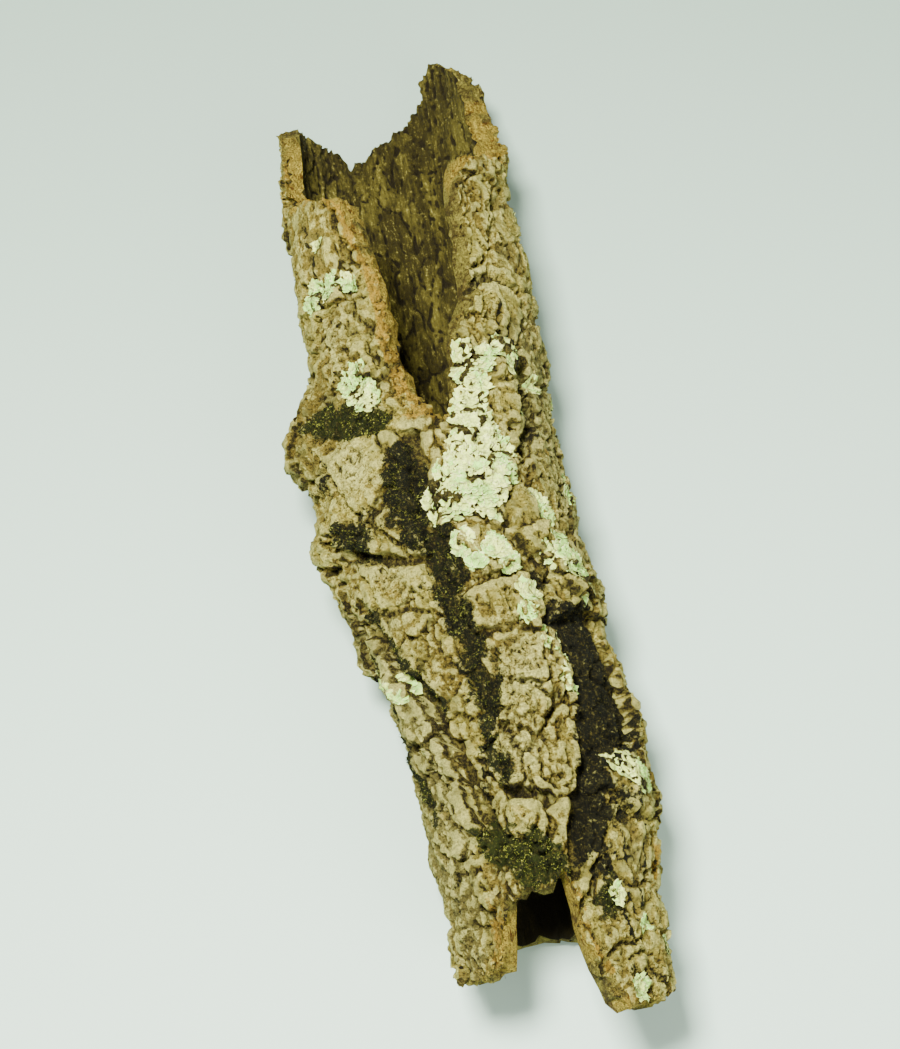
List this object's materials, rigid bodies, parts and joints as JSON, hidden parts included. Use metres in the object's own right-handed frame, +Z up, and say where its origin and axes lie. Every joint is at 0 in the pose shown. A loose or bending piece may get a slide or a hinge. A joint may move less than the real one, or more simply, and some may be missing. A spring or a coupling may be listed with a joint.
{
  "type": "cork bark round",
  "caption": "Hollow round of rough cork oak bark, open at both ends, with a deep notch, an arch between two legs and pale lichen.",
  "frame": {"origin": "middle of the bounding box's base, on the surface that the log lies on", "axes": "+Z up; +Y along the log, from its two-legged lower end towards its notched upper end; +X to the right of someone who looks along +Y"},
  "size_m": [0.1426, 0.5179, 0.1165],
  "materials": {
    "bark": "matte",
    "lichen": "matte",
    "pale_lichen": "matte"
  },
  "bodies": {
    "root": {"cork_bark": "bark", "lichen_shoulder": "lichen", "lichen_left": "pale_lichen", "lichen_flange": "pale_lichen", "lichen_tongue": "pale_lichen", "lichen_leg": "lichen"}
  },
  "joints": []
}
